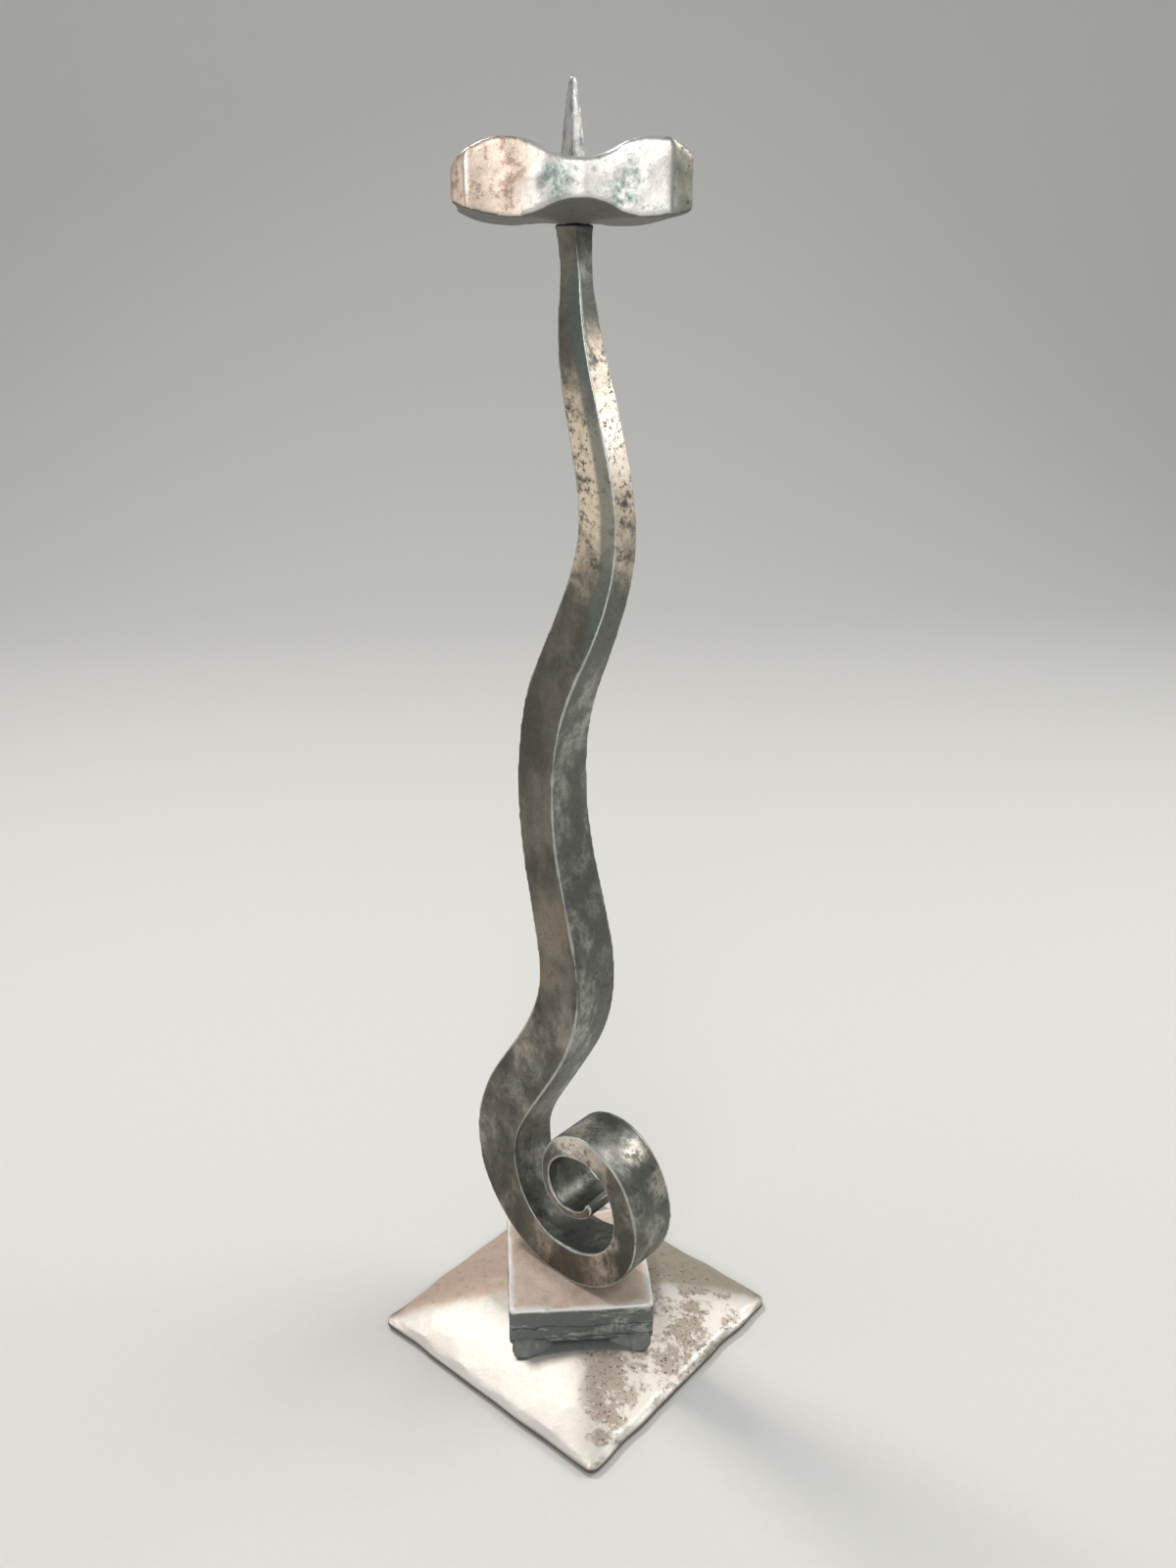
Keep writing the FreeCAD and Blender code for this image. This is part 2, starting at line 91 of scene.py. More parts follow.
class Finish:
    """A material: its shader, and the nodes that vary it over the surface."""

    def __init__(self, name):
        self.material = bpy.data.materials.new(name)
        self.material.use_nodes = True
        self.tree = self.material.node_tree
        self.shader = self.tree.nodes["Principled BSDF"]
        self.place = self.add("ShaderNodeTexCoord", output="Object")

    def add(self, kind, settings=None, inputs=None, output=0):
        """Adds any node: its settings first, then the values or wires of its sockets."""
        node = self.tree.nodes.new(kind)
        for name, value in (settings or {}).items():
            setattr(node, name, value)
        self.join(node, inputs or {})
        return Wire(self, node.outputs[output])

    def join(self, node, inputs):
        for name, value in inputs.items():
            if isinstance(value, Wire):
                self.tree.links.new(value.socket, node.inputs[name])
            else:
                node.inputs[name].default_value = value

    def math(self, operation, first, second):
        return self.add("ShaderNodeMath", {"operation": operation}, {0: first, 1: second})

    def noise(self, width, detail=4, rough=0.6, warp=0.0, along=(1, 1, 1)):
        """Cloudy noise whose blots are about so wide, drawn out along an axis where asked."""
        sizes = {"Scale": 1 / width, "Detail": detail, "Roughness": rough, "Distortion": warp}
        return self.add("ShaderNodeTexNoise", None, {"Vector": self.stretched(along), **sizes})

    def stretched(self, along):
        if along == (1, 1, 1):
            return self.place
        return self.add("ShaderNodeVectorMath", {"operation": "MULTIPLY"}, {0: self.place, 1: along})

    def axis(self, name):
        """How far a point lies along X, Y or Z."""
        return self.add("ShaderNodeSeparateXYZ", None, {0: self.place}, name)

    def facing(self, direction):
        """1 where the surface faces a direction, 0 where it lies along it, -1 where it faces away."""
        pair = {0: self.add("ShaderNodeNewGeometry", output="Normal"), 1: direction}
        return self.add("ShaderNodeVectorMath", {"operation": "DOT_PRODUCT"}, pair, "Value")

    def marked(self, name):
        """A share that was kept at each point of the mesh."""
        return self.add("ShaderNodeAttribute", {"attribute_name": name}, output="Fac")

    def mix(self, share, under, over):
        """Lays one colour over another. share is how much of the upper one shows."""
        colours = {"Factor": share, 6: under, 7: over}
        return self.add("ShaderNodeMix", {"data_type": "RGBA"}, colours, 2)

    def bump(self, height, depth, below=None):
        """Small relief of a real depth. Another relief may lie under it."""
        inputs = {"Height": height, "Distance": depth, "Strength": 1.0}
        if below is not None:
            inputs["Normal"] = below
        return self.add("ShaderNodeBump", None, inputs)


def colour(red, green, blue):
    return red, green, blue, 1


def remeshed(node, grain):
    """A copy of a CAD solid's mesh with an even grain, ready to be beaten."""
    piece = bpy.data.objects.new(node + "_blank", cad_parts[node].data.copy())
    bpy.context.scene.collection.objects.link(piece)
    skin = piece.modifiers.new("even_grain", "REMESH")
    skin.mode = "VOXEL"
    skin.voxel_size = grain
    ready = piece.evaluated_get(bpy.context.evaluated_depsgraph_get())
    mesh = bpy.data.meshes.new_from_object(ready)
    bpy.data.objects.remove(piece)
    mesh.materials.clear()
    return mesh


def points_of(mesh):
    points = np.empty(len(mesh.vertices) * 3)
    mesh.vertices.foreach_get("co", points)
    return points.reshape(-1, 3)


def put_points(mesh, points):
    mesh.vertices.foreach_set("co", points.ravel())
    mesh.update()


def normals_of(mesh):
    normals = np.empty(len(mesh.vertices) * 3)
    mesh.vertex_normals.foreach_get("vector", normals)
    return normals.reshape(-1, 3)


def relaxed(mesh, points, times):
    """Draws each point towards the middle of its neighbours, which rounds the arrises."""
    ends = np.empty(len(mesh.edges) * 2, int)
    mesh.edges.foreach_get("vertices", ends)
    first, second = ends.reshape(-1, 2).T
    count = np.bincount(ends, minlength=len(points))[:, None]
    for _ in range(times):
        total = np.zeros_like(points)
        np.add.at(total, first, points[second])
        np.add.at(total, second, points[first])
        points = (points + total / count) / 2
    return points


def grows(values, start, end):
    """Goes evenly from 0 at start to 1 at end. The end may be the lower one."""
    return np.clip((values - start) / (end - start), 0, 1)


def away_from(values, seat, reach):
    """0 at a seat, so that what sits on it still touches, and 1 from reach on."""
    return grows(np.abs(values - seat), 0, reach)


ridge_steepness = 1.6


def blows(points, depth, width, stretch=(1, 1, 1)):
    """How far hammer blows sink the skin. Each leaves a round dent, with ridges in between."""
    scaled = points * np.array(stretch) / width
    from_blow = np.array([noise.voronoi(Vector(point))[0][0] for point in scaled])
    return depth * (1 - np.minimum(from_blow**2 * ridge_steepness, 1))


def swells(points, depth, width, offset=0.0):
    """How far slow unevenness sinks the skin. The offset gives a piece a pattern of its own."""
    shift = Vector((offset, 0, 0))
    heights = [noise.noise(Vector(point) / width + shift) for point in points]
    return depth * (np.array(heights) * 0.5 + 0.5)


def mark(mesh, name, shares):
    """Keeps a share at each point of the mesh, for the finish to read."""
    kept = mesh.attributes.new(name, "FLOAT", "POINT")
    kept.data.foreach_set("value", shares.astype(np.float32))


shaping_rounds = 3
arris_rounds = 14


def forge(name, node, grain, rounding, sunk, shaped=None, worn_depth=0.12 * mm):
    """Makes a piece from a CAD node: an even mesh, softened arrises, a last shaping where there is
    one, and a skin that sunk lowers. How proud each point stands is marked for the finish, because
    handling and brushing keep the arrises bright."""
    mesh = remeshed(node, grain)
    low, high = (np.array(corner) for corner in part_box(node))
    points = relaxed(mesh, points_of(mesh), rounding)
    if shaped:
        points = relaxed(mesh, shaped(points), shaping_rounds)
        low[2] = min(low[2], points[:, 2].min())
    put_points(mesh, points)
    points = points - normals_of(mesh) * sunk(points)[:, None]
    points = np.clip(points, low, high)
    put_points(mesh, points)
    softer = relaxed(mesh, points, arris_rounds)
    proud = np.einsum("ij,ij->i", points - softer, normals_of(mesh))
    mark(mesh, "worn", np.clip(proud / worn_depth, -1, 1))
    mesh.polygons.foreach_set("use_smooth", [True] * len(mesh.polygons))
    piece = bpy.data.objects.new(name, mesh)
    bpy.context.scene.collection.objects.link(piece)
    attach(piece, "root")
    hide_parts(node)
    return piece


def dress(piece, finish):
    piece.data.materials.append(finish.material)


class ForgedSteel(Finish):
    """Forged steel, brushed and waxed. Each piece lays its own stains and scale on it."""

    def __init__(self, name):
        super().__init__(name)
        proud = self.marked("worn")
        self.worn = proud.rises(0.45, 1.0)
        self.hollow = proud.rises(-0.1, -0.8)
        self.blots = self.noise(13 * mm, 8, 0.66)
        self.drift = self.noise(30 * mm, 3, 0.5)
        self.speckle = self.noise(1.8 * mm, 6, 0.7)

    def wander(self, reach):
        """Moves a border to and fro by up to about half of reach."""
        return (self.blots - 0.5) * reach

    def near(self, x, y, z, reach, strength=1):
        """A ragged patch round a point of the piece, in mm."""
        pair = {0: self.place, 1: (x * mm, y * mm, z * mm)}
        away = self.add("ShaderNodeVectorMath", {"operation": "DISTANCE"}, pair, "Value")
        ragged = away + self.wander(2.4 * reach * mm)
        return ragged.rises(reach * mm, 0.3 * reach * mm) * strength

    def patches(self, *spots):
        """Several ragged patches. Each spot holds x, y, z and reach in mm, and may hold a strength."""
        joined = self.near(*spots[0])
        for spot in spots[1:]:
            joined = joined.or_more(self.near(*spot))
        return joined

    def lay(self, colours, crust, roughness, rough_depth=0.05 * mm):
        """Joins the colours, the share of scale and the relief to the shader."""
        dents = self.bump(self.noise(5 * mm, 5, 0.55), 0.16 * mm)
        relief = self.bump(self.noise(0.8 * mm, 5, 0.7) - crust * 0.6, rough_depth, dents)
        inputs = {
            "Base Color": colours,
            "Metallic": 1 - crust * 0.3,
            "Roughness": roughness + crust * 0.14 + self.speckle * 0.12 - self.worn * 0.08,
            "Normal": relief,
        }
        self.join(self.shader, inputs)


plate_half_side = 50.8 * mm
plate_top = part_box("base_plate")[1].z
rim_top = 3.5 * mm
crown_run = 27 * mm
crown_fullness = 1.5
ridge_softness = 9


def towards_sides(points):
    """How far out a point lies towards each pair of the plate's sides."""
    across = np.abs(points[:, 0] - points[:, 1]) / math.sqrt(2)
    along = np.abs(points[:, 0] + points[:, 1]) / math.sqrt(2)
    return across, along


def crowned(points):
    """The bevels run on up to the block in one soft curve, with their ridges rounded over."""
    across, along = towards_sides(points)
    out = (across**ridge_softness + along**ridge_softness) ** (1 / ridge_softness)
    rise = 1 - (1 - grows(plate_half_side - out, 0, crown_run)) ** crown_fullness
    lowered = points.copy()
    lowered[:, 2] = np.minimum(points[:, 2], rim_top + (plate_top - rim_top) * rise)
    return lowered


def plate_skin(points):
    """Flat underneath and where the block stands; wide dents on the bevels, a rim that wavers."""
    dents = blows(points, 0.3 * mm, 15 * mm) + swells(points, 0.4 * mm, 24 * mm)
    dents = dents * away_from(points[:, 2], 0, 1 * mm)
    dents = dents * grows(np.abs(points[:, :2]).max(1), 14 * mm, 20 * mm)
    waver = swells(points, 1.5 * mm, 13 * mm, 7.0)
    from_rim = plate_half_side - np.maximum(*towards_sides(points))
    by_rim = grows(from_rim, 3.2 * mm, 1.2 * mm)
    return dents * (1 - by_rim) + waver * by_rim


plate = forge("foot_plate", "base_plate", 0.9 * mm, 4, plate_skin, crowned)

brushed_bright = colour(0.86, 0.82, 0.77)
brushed_dull = colour(0.76, 0.7, 0.64)
heat_pink = colour(0.74, 0.57, 0.47)
heat_olive = colour(0.54, 0.48, 0.38)
fleck_brown = colour(0.36, 0.28, 0.22)
stain_brown = colour(0.44, 0.365, 0.3)
plate_rubbed = colour(0.9, 0.88, 0.85)
plate_scale_and_reflection_dark = colour(0.1, 0.085, 0.07)
painted_foot_shade = colour(0.22, 0.25, 0.24)

plate_steel = ForgedSteel("burnished_plate_steel")
plate_x = plate_steel.axis("X")
plate_y = plate_steel.axis("Y")
border = plate_steel.wander(14 * mm)
to_right = (plate_x + border).rises(-4 * mm, 4 * mm)
to_back = (plate_y + border).rises(-3 * mm, 4 * mm)
in_front = 1 - to_back
fine_mottle = plate_steel.noise(3.5 * mm, 8, 0.7)
blotches = (plate_steel.blots * 0.6 + fine_mottle * 0.4).rises(0.475, 0.54)
blotches = blotches * plate_steel.drift.rises(0.32, 0.5) * to_right
plate_ground = plate_steel.mix(plate_steel.drift, brushed_bright, brushed_dull)
back_stain = plate_steel.mix(to_right, heat_pink, heat_olive)
back_stain = plate_steel.mix(fine_mottle.rises(0.5, 0.7) * 0.5, back_stain, fleck_brown)
plate_ground = plate_steel.mix(to_back * 0.9, plate_ground, back_stain)
stain = blotches * in_front * (0.35 + plate_steel.drift * 0.8)
plate_ground = plate_steel.mix(stain, plate_ground, stain_brown)
plate_pits = plate_steel.noise(1.1 * mm, 4, 0.65).rises(0.56, 0.62) * blotches
# The rim's sides get dark scale, which also stands in as a painted dark reflection in them.
rim = plate_steel.axis("Z").rises(3.3 * mm, 2.2 * mm)
in_hollows = plate_steel.hollow * plate_steel.blots * 0.4
plate_crust_and_rim_reflection = (plate_pits * 0.8).or_more(rim).or_more(in_hollows)
burnished = plate_steel.worn * in_front * (1 - rim) * 0.4
plate_ground = plate_steel.mix(burnished, plate_ground, plate_rubbed)
plate_ground = plate_steel.mix(plate_crust_and_rim_reflection * 0.9, plate_ground, plate_scale_and_reflection_dark)

# A dull dark strip of painted shade lies on the plate along the block's front and back foot, between
# the dabs.
beside = abs(plate_x) + border * 0.2
ahead = abs(plate_y) + border * 0.2
foot_shade_strip = ahead.rises(29.2 * mm, 28.2 * mm) * beside.rises(24 * mm, 22 * mm)
plate_ground = plate_steel.mix(foot_shade_strip * 0.9, plate_ground, painted_foot_shade)
plate_steel.lay(plate_ground, plate_crust_and_rim_reflection.or_more(foot_shade_strip), 0.5)
dress(plate, plate_steel)


# Plinth block
# A 2 inch square steel block with a hollowed top, which the scroll sits on. Its sides keep the
# dark scale and the cracks of the bar it was cut from; only its top was brushed bright.

block_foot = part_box("plinth_block")[0].z
block_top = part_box("plinth_block")[1].z
block_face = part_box("plinth_block")[1].y
crack_height = 19.6 * mm
lap_height = 14.6 * mm


def block_skin(points):
    """Shallow blows, and rough sides. The foot and the seat of the scroll stay as they are."""
    rough = blows(points, 0.2 * mm, 9 * mm) + swells(points, 0.35 * mm, 8 * mm)
    from_seat = grows(np.hypot(points[:, 0], points[:, 1]), 14 * mm, 19 * mm)
    return rough * away_from(points[:, 2], block_foot, 2 * mm) * from_seat


block = forge("hollowed_block", "plinth_block", 0.7 * mm, 8, block_skin, worn_depth=0.16 * mm)

side_dark = colour(0.14, 0.167, 0.16)
side_grey = colour(0.23, 0.235, 0.217)
flake_grey = colour(0.58, 0.63, 0.59)
seam_black = colour(0.05, 0.055, 0.055)
hollow_pale = colour(0.95, 0.82, 0.72)
hollow_pink = colour(0.76, 0.62, 0.53)
hollow_brown = colour(0.62, 0.46, 0.37)
lip_bright = colour(0.9, 0.87, 0.84)

block_steel = ForgedSteel("dark_block_steel")
block_height = block_steel.axis("Z")
on_top = block_steel.facing((0, 0, 1)).rises(0.35, 0.75)

# The sides: grey scale with pale flakes, a crack half way up and a lap near the foot.
side_scale = block_steel.mix(block_steel.drift, side_dark, side_grey)
flakes = block_steel.noise(6 * mm, 8, 0.7, 0.3, (0.6, 0.6, 1.6)).rises(0.53, 0.62)
thick_flakes = block_steel.patches((7, -25, 16, 5), (14, -25, 20, 5))
flakes = flakes.or_more(thick_flakes * block_steel.speckle.rises(0.4, 0.55))
side_scale = block_steel.mix(flakes * 0.7, side_scale, flake_grey)
sway = (block_steel.noise(12 * mm, 5, 0.65) - 0.5) * (6 * mm)
crack = abs(block_height - crack_height + sway).rises(0.45 * mm, 0.1 * mm)
lap = abs(block_height - lap_height + sway * 0.5).rises(0.6 * mm, 0.1 * mm)
seams = crack.or_more(lap) * block_steel.drift.rises(0.36, 0.46)
side_scale = block_steel.mix(seams * 0.75, side_scale, seam_black)

# The top: stained pink by the heat, with a brushed bright lip all round.
hollow = block_steel.mix(block_steel.blots, hollow_pale, hollow_pink)
hollow_mottle = block_steel.noise(6 * mm, 9, 0.74, 0.0, (0.7, 0.7, 1)).rises(0.42, 0.62)
hollow = block_steel.mix(hollow_mottle * 0.55, hollow, hollow_brown)
block_ground = block_steel.mix(on_top, side_scale, hollow)
from_middle = abs(block_steel.axis("X")).or_more(abs(block_steel.axis("Y")))
lip = (from_middle + block_steel.wander(7 * mm)).rises(22.4 * mm, 24 * mm) * on_top
top_edge = block_height.rises(block_top - 2.4 * mm, block_top - 1.2 * mm) * block_steel.worn
burnish = top_edge.or_more(lip * 0.9)
block_ground = block_steel.mix(burnish, block_ground, lip_bright)
block_crust = (1 - on_top) * (1 - flakes) * (1 - burnish) + on_top * 1.1
block_steel.lay(block_ground, block_crust + seams * (1 - on_top) * 1.5, 0.46, 0.12 * mm)
dress(block, block_steel)


# Corner welds
# Four dabs of steel weld metal in the corner between plate and block, two in front and two
# behind. They hold the block down, and were left as rough and dark as they came.

weld_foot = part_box("corner_welds")[0].z
weld_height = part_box("corner_welds")[1].z - weld_foot
weld_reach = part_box("corner_welds")[1].y - block_face
weld_depth_in_block = 1.2 * mm
weld_drop = 2.4 * mm
tail_start = 18.5 * mm
tail_run = 4 * mm
tail_length = 5 * mm


def weld_skin(points):
    return 0.1 * mm + swells(points, 0.9 * mm, 4 * mm, 3.0)


def run_down(points):
    """Each dab swells out of the block's face, fills the gap where the plate falls away under it,
    and runs out thinly along the foot towards the middle."""
    beside = np.abs(points[:, 0])
    up = (points[:, 2] - weld_foot) / weld_height
    outward = grows(np.abs(points[:, 1]) - block_face, 0, weld_reach)
    tail = grows(beside, tail_start, tail_start - tail_run)
    bulge = (1.1 - 1.3 * outward**2) * (1 - 0.6 * tail)
    out = block_face - weld_depth_in_block + weld_reach * outward * (1 - 0.45 * tail)
    run = points.copy()
    run[:, 0] = np.sign(points[:, 0]) * (beside - tail_length * tail)
    run[:, 1] = np.sign(points[:, 1]) * out
    run[:, 2] = weld_foot - weld_drop * (1 - up) + weld_height * bulge * up
    return run


welds = forge("weld_dabs", "corner_welds", 0.3 * mm, 4, weld_skin, run_down)

weld_dark = colour(0.18, 0.205, 0.2)
weld_pale = colour(0.28, 0.28, 0.26)
spatter_grey = colour(0.42, 0.44, 0.42)

weld_steel = ForgedSteel("weld_steel")
weld_ground = weld_steel.mix(weld_steel.blots, weld_dark, weld_pale)
weld_ground = weld_steel.mix(weld_steel.speckle.rises(0.5, 0.7) * 0.6, weld_ground, spatter_grey)
weld_steel.lay(weld_ground, 1 - weld_steel.speckle.rises(0.5, 0.8), 0.5)
dress(welds, weld_steel)


# Scroll stem
# One square bar, drawn down towards the pan, waved, and rolled into a scroll that is thinned to
# its tip. It keeps grey-brown scale on its faces, and its arrises are rubbed bright.

stem_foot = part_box("scroll_stem")[0].z
neck_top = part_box("scroll_stem")[1].z
right_way = np.array((0.707, -0.707, 0))
flat_way = np.array((-0.469, -0.883, 0))
flat_depth = 1.05 * mm
flat_foot = 245 * mm
flat_full = 268 * mm
flat_end = neck_top - 4 * mm
level = 3 * mm
far_behind = -1.0


def stem_skin(points):
    """Long shallow blows along the bar, which stop short of its foot and its neck."""
    beaten = blows(points, 0.16 * mm, 16 * mm, (1, 1, 0.5)) + swells(points, 0.45 * mm, 17 * mm, 4.0)
    height = points[:, 2]
    return beaten * away_from(height, stem_foot, 2 * mm) * away_from(height, neck_top, 2 * mm)


def flattened(points):
    """The arris in front was knocked flat, from the neck down over the upper third of the bar. At
    each level the flat lies a set depth behind the arris, and points go straight back to it."""
    height = points[:, 2]
    out = points @ flat_way
    levels = np.floor(height / level).astype(int)
    furthest = np.full(levels.max() + 1, far_behind)
    np.maximum.at(furthest, levels, out)
    even = np.ones(5) / 5
    furthest = np.convolve(np.pad(furthest, 2, mode="edge"), even, "valid")
    arris = np.interp(height, (np.arange(len(furthest)) + 0.5) * level, furthest)
    depth = grows(height, flat_foot, flat_full) * grows(height, flat_end, flat_end - 10 * mm)
    beyond = np.clip(out - arris + flat_depth * depth, 0, None) * (height > flat_foot)
    pushed = points.copy()
    pushed[:, 1] -= beyond / flat_way[1]
    return pushed


stem = forge("scrolled_stem", "scroll_stem", 0.5 * mm, 6, stem_skin, flattened)

# The flat, and the line where it meets the right face, are marked by the way the skin faces.
ways = normals_of(stem.data)
ways[:, 2] = 0
ways /= np.linalg.norm(ways, axis=1).clip(0.01)[:, None]
heights = points_of(stem.data)[:, 2]
along_flat = grows(heights, flat_foot, flat_full) * grows(heights, flat_end, flat_end - 6 * mm)
on_flat = grows(ways @ flat_way, 0.965, 0.998) * along_flat
on_line = grows(ways @ flat_way, 0.33, 0.5) * grows(ways @ right_way, 0.36, 0.55) * along_flat
mark(stem.data, "flat", relaxed(stem.data, on_flat[:, None], 6)[:, 0])
mark(stem.data, "line", relaxed(stem.data, on_line[:, None], 1)[:, 0])

bar_dark = colour(0.1, 0.095, 0.082)
bar_grey = colour(0.22, 0.205, 0.172)
bar_cool = colour(0.15, 0.16, 0.143)
chalk_grey = colour(0.42, 0.43, 0.39)
bar_tan = colour(0.58, 0.49, 0.4)
bar_ochre = colour(0.33, 0.27, 0.2)
heat_gold = colour(0.9, 0.76, 0.6)
painted_highlight_gold = colour(0.96, 0.89, 0.79)
painted_glint_pink = colour(0.84, 0.76, 0.68)
flat_painted_reflection = colour(0.17, 0.205, 0.19)
bar_scale = colour(0.07, 0.062, 0.052)
arris_bright = colour(0.62, 0.65, 0.62)
painted_line_highlight = colour(0.8, 0.88, 0.85)

# Grey-brown scale, cooler on the faces that follow the waves, with clouds and chalky spots.
stem_steel = ForgedSteel("forged_bar_steel")
flank = abs(stem_steel.facing((0.7071, 0.7071, 0))).rises(0.5, 0.9)
height = stem_steel.axis("Z") + stem_steel.wander(50 * mm)
clouds = stem_steel.noise(16 * mm, 9, 0.66, 0.2, (1, 1, 0.6))
mottle = stem_steel.noise(5 * mm, 9, 0.72)
bar_ground = stem_steel.mix(clouds.rises(0.35, 0.65), bar_dark, bar_grey)
bar_ground = stem_steel.mix((1 - flank) * 0.7, bar_ground, bar_cool)
chalky = stem_steel.patches(
    (1, 0, 185, 5), (7, 1, 171, 8), (9, -2, 152, 5), (-22, 8, 93, 8), (-16, 2, 106, 8)
)
pale_clouds = clouds.rises(0.48, 0.6) * mottle.rises(0.35, 0.6) * (1 - flank)
pale_clouds = pale_clouds.or_more(chalky * mottle.rises(0.4, 0.6) * 0.6)
bar_ground = stem_steel.mix(pale_clouds * 0.8, bar_ground, chalk_grey)

# Heat left a gold band on the upper bar, and tan patches lower down and on the scroll.
# Painted highlights lie over the band and on the scroll.
low_tan = stem_steel.patches((-2, -11, 85, 13), (8, -22, 45, 13)) * clouds.rises(0.4, 0.56)
low_tan = low_tan.or_more(height.rises(150 * mm, 110 * mm) * clouds.rises(0.5, 0.62) * 0.5)
bar_ground = stem_steel.mix(low_tan * flank * mottle.rises(0.36, 0.56), bar_ground, bar_tan)
ochre = stem_steel.patches((-9, -4, 163, 14), (-10, -3, 146, 8)) * flank
bar_ground = stem_steel.mix(ochre * 0.5, bar_ground, bar_ochre)
gold_band = height.rises(270 * mm, 296 * mm) * height.rises(352 * mm, 330 * mm)
gold_band = gold_band * (1 - flank * height.rises(318 * mm, 338 * mm))
bar_ground = stem_steel.mix(gold_band * mottle.rises(0.36, 0.52) * 0.9, bar_ground, heat_gold)
# A painted highlight in pale gold lies on part of the band.
band_painted_highlight = gold_band * (1 - flank) * stem_steel.near(9, -9, 321, 19)
bar_ground = stem_steel.mix(band_painted_highlight * mottle.rises(0.34, 0.44), bar_ground, painted_highlight_gold)
# Painted highlights: pale pink glints on the scroll.
painted_glints = stem_steel.patches(
    (19, -15, 84, 7),
    (27, -18, 73, 8, 0.5),
    (-4, -10, 87, 13, 1.2),
    (5, -19, 85, 7, 0.5),
    (10, -25, 54, 5, 0.5),
)
bar_ground = stem_steel.mix(painted_glints * mottle.rises(0.3, 0.55) * 0.9, bar_ground, painted_glint_pink)
# The flat is tinted green as a painted reflection.
flat_face = stem_steel.marked("flat")
bar_ground = stem_steel.mix(flat_face * 0.7, bar_ground, flat_painted_reflection)

# Dark pits and spots of scale, then what was rubbed bright, painted shade kept at the neck, and a
# painted highlight along the flat's edge.
pits = stem_steel.noise(1.4 * mm, 5, 0.7).rises(0.55, 0.6) * stem_steel.drift.rises(0.32, 0.5)
pits = pits * (gold_band * (1 - flat_face)).or_more(0.35)
dark_spots = mottle.rises(0.53, 0.61) * height.rises(180 * mm, 140 * mm) * clouds.rises(0.6, 0.46)
dark_spots = dark_spots.or_more(stem_steel.near(14, -28, 49, 6) * flank)
bar_crust = pits.or_more(dark_spots * 0.9) * (1 - stem_steel.worn)
bar_ground = stem_steel.mix(bar_crust * 0.8, bar_ground, bar_scale)
# Rubbing stops short of the neck: its rounded end stays unrubbed, and the neck under the pan is kept
# dark as painted shade.
clear_of_neck_shade = stem_steel.axis("Z").rises(neck_top - 3 * mm, neck_top - 12 * mm)
rubbed = stem_steel.worn * clear_of_neck_shade * stem_steel.blots.rises(0.2, 0.6) * 0.75
bar_ground = stem_steel.mix(rubbed, bar_ground, arris_bright)
# A painted highlight runs along the line where the flat meets the right face.
flat_edge_highlight = stem_steel.marked("line") * mottle.rises(0.25, 0.5)
bar_ground = stem_steel.mix(flat_edge_highlight * 0.9, bar_ground, painted_line_highlight)
stem_steel.lay(bar_ground, bar_crust.or_more(0.2), 0.38)
dress(stem, stem_steel)


# Drip pan
# A square of thick steel bar, necked by a fuller in the middle and hollowed on top to catch the
# wax. Brushed bright, with mottled brown and blue-green stains left by the heat. Painted
# reflections tint its left end pink, its right end olive and two spots beside the neck blue-green,
# and its dark underside is partly painted shade.


def pan_skin(points):
    """Blows all over but where the neck and the spike stand against it."""
    beaten = blows(points, 0.4 * mm, 9 * mm) + swells(points, 0.3 * mm, 14 * mm, 9.0)
    return beaten * grows(np.hypot(points[:, 0], points[:, 1]), 6 * mm, 10 * mm)


pan = forge("drip_pan_forged", "drip_pan", 0.7 * mm, 8, pan_skin)

pan_bright = colour(0.93, 0.91, 0.88)
pan_dull = colour(0.82, 0.78, 0.73)
pan_painted_warm_reflection = colour(0.84, 0.66, 0.54)
pan_brown = colour(0.46, 0.32, 0.24)
pan_painted_olive_reflection = colour(0.24, 0.23, 0.17)
pan_teal = colour(0.2, 0.28, 0.265)
pan_scale_and_shade_dark = colour(0.1, 0.1, 0.09)
pan_rubbed = colour(0.9, 0.88, 0.84)

pan_steel = ForgedSteel("burnished_pan_steel")
pan_x = pan_steel.axis("X")
pan_mottle = pan_steel.noise(5 * mm, 9, 0.72)
flecks = pan_steel.noise(2.2 * mm, 7, 0.7)
at_left = (pan_x + pan_steel.wander(20 * mm)).rises(-9 * mm, -17 * mm)
at_right = (pan_x + pan_steel.wander(6 * mm)).rises(20 * mm, 25 * mm)
pan_ground = pan_steel.mix(pan_steel.drift, pan_bright, pan_dull)
# Painted reflections: the left end is tinted pink and the right end olive. The brown flecks on the
# left and the pits on the right are heat stain and scale.
pan_ground = pan_steel.mix(at_left * 0.8, pan_ground, pan_painted_warm_reflection)
brown_flecks = at_left * (pan_mottle * 0.6 + flecks * 0.4).rises(0.5, 0.56)
pan_ground = pan_steel.mix(brown_flecks * 0.8, pan_ground, pan_brown)
pan_ground = pan_steel.mix(at_right * 0.85, pan_ground, pan_painted_olive_reflection)
# The two blue-green patches beside the neck are painted reflections; the blue-green mottle added to
# them is heat stain.
teal_stain_and_reflection = pan_steel.patches((-6, -29, 378, 6), (11, -29, 377, 7))
teal_stain_and_reflection = teal_stain_and_reflection.or_more(pan_mottle.rises(0.53, 0.6) * (1 - at_left) * 0.6)
pan_ground = pan_steel.mix(teal_stain_and_reflection * flecks.rises(0.3, 0.6) * 0.9, pan_ground, pan_teal)
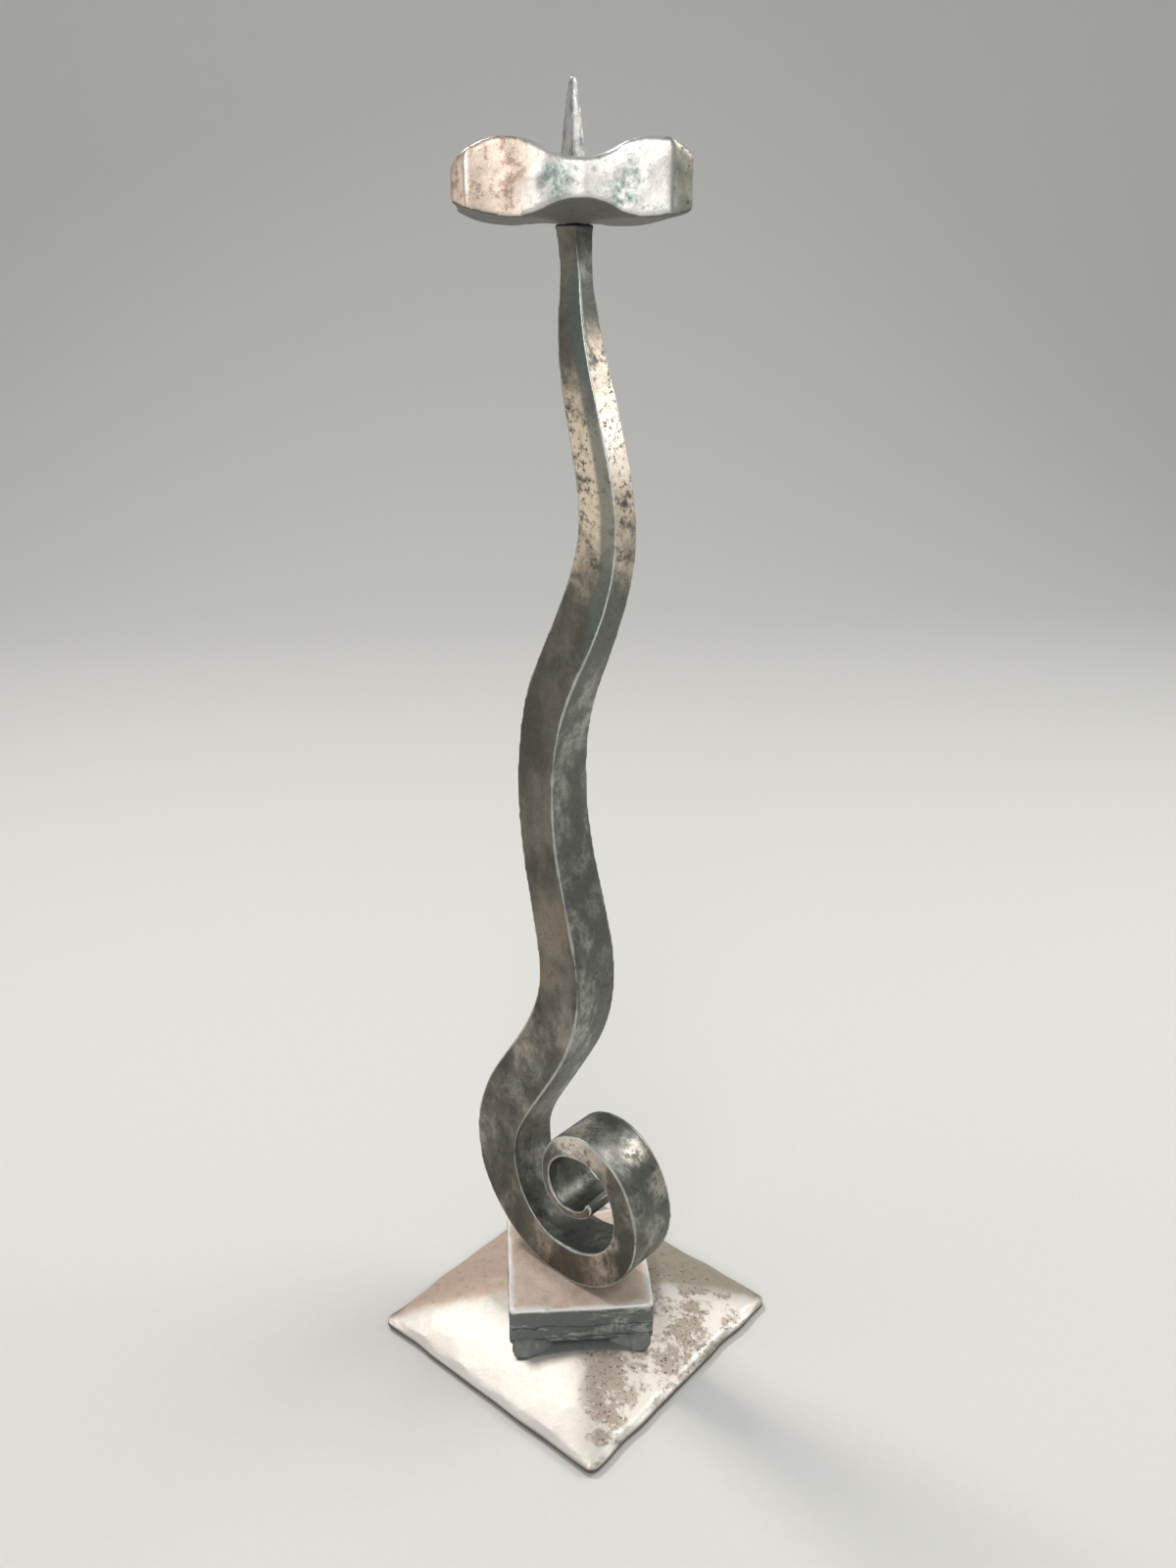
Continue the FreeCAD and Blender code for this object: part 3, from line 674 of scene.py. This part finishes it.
# The underside is darkened with scale, and this also stands in as painted shade under the pan.
underneath = pan_steel.facing((0, 0, -1)).rises(0.15, 0.55)
pan_pits = flecks.rises(0.57, 0.63) * pan_steel.drift.rises(0.4, 0.55) * (0.4 + at_right)
pan_crust_and_shade = underneath.or_more(pan_pits * 0.8)
pan_ground = pan_steel.mix(pan_crust_and_shade * 0.92, pan_ground, pan_scale_and_shade_dark)
pan_arrises = pan_steel.worn * (1 - underneath) * (1 - at_left)
pan_ground = pan_steel.mix(pan_arrises * 0.15, pan_ground, pan_rubbed)
pan_steel.lay(pan_ground, pan_crust_and_shade, 0.38)
dress(pan, pan_steel)


# Pricket
# A square steel spike, drawn to a blunt point, that the candle is pushed down on. It was forged
# as a piece of its own and stands in the middle of the pan.


def pricket_skin(points):
    return blows(points, 0.1 * mm, 4 * mm) + swells(points, 0.08 * mm, 5 * mm)


pricket = forge("spike", "pricket", 0.3 * mm, 2, pricket_skin, worn_depth=0.08 * mm)

spike_dark = colour(0.24, 0.24, 0.245)
spike_pale = colour(0.55, 0.54, 0.52)
spike_rubbed = colour(0.75, 0.75, 0.74)

pricket_steel = ForgedSteel("spike_steel")
streaks = pricket_steel.noise(5 * mm, 7, 0.7, 0.2, (1.6, 1.6, 0.5))
spike_ground = pricket_steel.mix(streaks.rises(0.4, 0.6), spike_dark, spike_pale)
spike_ground = pricket_steel.mix(pricket_steel.worn * 0.6, spike_ground, spike_rubbed)
pricket_steel.lay(spike_ground, streaks.rises(0.5, 0.3) * 0.5, 0.36)
dress(pricket, pricket_steel)


# Stem screw
# A countersunk screw of blackened steel, turned up through plate and block into the scroll's
# foot. It holds the three together, and only its head shows, from below.

screw_steel = Finish("blackened_screw_steel")
oil_marks = screw_steel.noise(2 * mm, 3)
screw_steel.join(
    screw_steel.shader,
    {
        "Base Color": screw_steel.mix(oil_marks, colour(0.09, 0.09, 0.095), colour(0.2, 0.19, 0.18)),
        "Metallic": 1.0,
        "Roughness": 0.35 + oil_marks * 0.15,
        "Normal": screw_steel.bump(screw_steel.noise(0.4 * mm, 2), 0.02 * mm),
    },
)
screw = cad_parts["stem_screw"]
screw.data.materials.clear()
screw.data.materials.append(screw_steel.material)


# Floor
# A plain sheet of pale paper, which lies flat under the stand and sweeps up behind it into the
# background in one smooth curve.

floor_reach = 3.0
sweep_start = 1.0
sweep_radius = 0.9
sweep_steps = 16

profile = [(-floor_reach, 0.0), (sweep_start, 0.0)]
for step in range(1, sweep_steps + 1):
    turn = math.radians(90 * step / sweep_steps)
    profile.append((sweep_start + sweep_radius * math.sin(turn), sweep_radius * (1 - math.cos(turn))))
profile.append((sweep_start + sweep_radius, floor_reach))
corners = [(side * floor_reach, y, z) for y, z in profile for side in (-1, 1)]
faces = [(2 * row, 2 * row + 1, 2 * row + 3, 2 * row + 2) for row in range(len(profile) - 1)]
sweep_mesh = bpy.data.meshes.new("sweep")
sweep_mesh.from_pydata(corners, [], faces)
sweep_mesh.polygons.foreach_set("use_smooth", [True] * len(faces))
sweep = bpy.data.objects.new("sweep", sweep_mesh)
bpy.context.scene.collection.objects.link(sweep)

paper = Finish("pale_paper")
paper_fibres = paper.noise(3 * mm, 3)
paper_colours = paper.mix(paper_fibres, colour(0.8, 0.79, 0.77), colour(0.84, 0.83, 0.81))
paper.join(paper.shader, {"Base Color": paper_colours, "Roughness": 0.75})
sweep_mesh.materials.append(paper.material)


# Light and camera
# A soft lamp high at the back left, weaker ones on the right, in front and on the left, and a
# pale room. The camera stands where the photograph was taken from.


def lamp(name, place, aim, size, power, tint):
    """A round soft lamp that looks at a point. Its power is in watts."""
    light = bpy.data.lights.new(name, "AREA")
    light.shape = "DISK"
    light.size = size
    light.energy = power
    light.color = tint
    stand = bpy.data.objects.new(name, light)
    stand.location = place
    stand.rotation_mode = "QUATERNION"
    stand.rotation_quaternion = (Vector(aim) - Vector(place)).to_track_quat("-Z", "Y")
    bpy.context.scene.collection.objects.link(stand)


lamp("key_lamp", (-0.46, 0.46, 1.15), (0, 0, 0.12), 0.26, 5.8, (1, 0.97, 0.93))
lamp("right_lamp", (0.85, 0.2, 0.85), (0, 0, 0.2), 0.7, 4.5, (1, 0.98, 0.94))
lamp("front_lamp", (-0.2, -1.1, 0.62), (0, 0, 0.34), 0.5, 3.3, (1, 0.98, 0.95))
lamp("left_lamp", (-1.1, -0.15, 0.3), (0, 0, 0.25), 0.6, 0.8, (1, 0.96, 0.9))

room = bpy.data.worlds.new("pale_room")
room.use_nodes = True
room.node_tree.nodes["Background"].inputs["Color"].default_value = colour(0.76, 0.79, 0.8)
room.node_tree.nodes["Background"].inputs["Strength"].default_value = 0.46
bpy.context.scene.world = room

lens = bpy.data.cameras.new("photo_camera")
lens.sensor_width = 36.0
lens.lens = 29.7
lens.clip_start = 0.01
camera = bpy.data.objects.new("photo_camera", lens)
camera.location = (-0.0227, -0.3713, 0.3598)
camera.rotation_euler = (math.radians(68.27), 0, math.radians(-4.10))
bpy.context.scene.collection.objects.link(camera)
bpy.context.scene.camera = camera
bpy.context.scene.view_settings.view_transform = "Standard"
